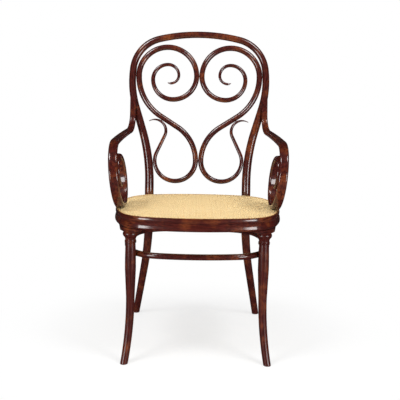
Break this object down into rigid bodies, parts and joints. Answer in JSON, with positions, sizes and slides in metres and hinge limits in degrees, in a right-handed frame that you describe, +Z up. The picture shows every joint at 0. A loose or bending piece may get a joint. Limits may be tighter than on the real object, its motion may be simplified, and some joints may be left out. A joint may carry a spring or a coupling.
{
  "type": "bentwood armchair",
  "caption": "Bentwood armchair with a woven cane seat, a hooped back filled with mirrored scrolls, arms that coil into volutes, and a ring that braces the legs.",
  "frame": {"origin": "on the floor, under the middle of the chair's width and depth", "axes": "+Z up, -Y towards the front of the seat, +X towards the right arm as seen from in front"},
  "size_m": [0.55, 0.5712, 1.0327],
  "materials": {
    "bentwood": "dark red-brown stain under polish",
    "turned_wood": "dark red-brown stain under polish",
    "cane": "natural split cane, satin",
    "steel": "darkened steel"
  },
  "bodies": {
    "root": {"back_hoop": "bentwood", "scroll_left": "bentwood", "scroll_right": "bentwood", "arm_left": "bentwood", "arm_right": "bentwood", "seat_ring": "bentwood", "leg_ring": "bentwood", "leg_block_left": "turned_wood", "leg_block_right": "turned_wood", "front_leg_left": "turned_wood", "front_leg_right": "turned_wood", "cane_panel": "cane", "cane_binder": "cane", "seat_bolts": "steel", "seat_bolt_washers": "steel", "seat_bolt_nuts": "steel", "arm_hoop_screws": "steel", "arm_seat_screws": "steel", "scroll_hoop_screws": "steel", "scroll_post_screws": "steel", "scroll_hook_screws": "steel", "scroll_middle_screws": "steel", "leg_ring_screws": "steel"}
  },
  "joints": []
}
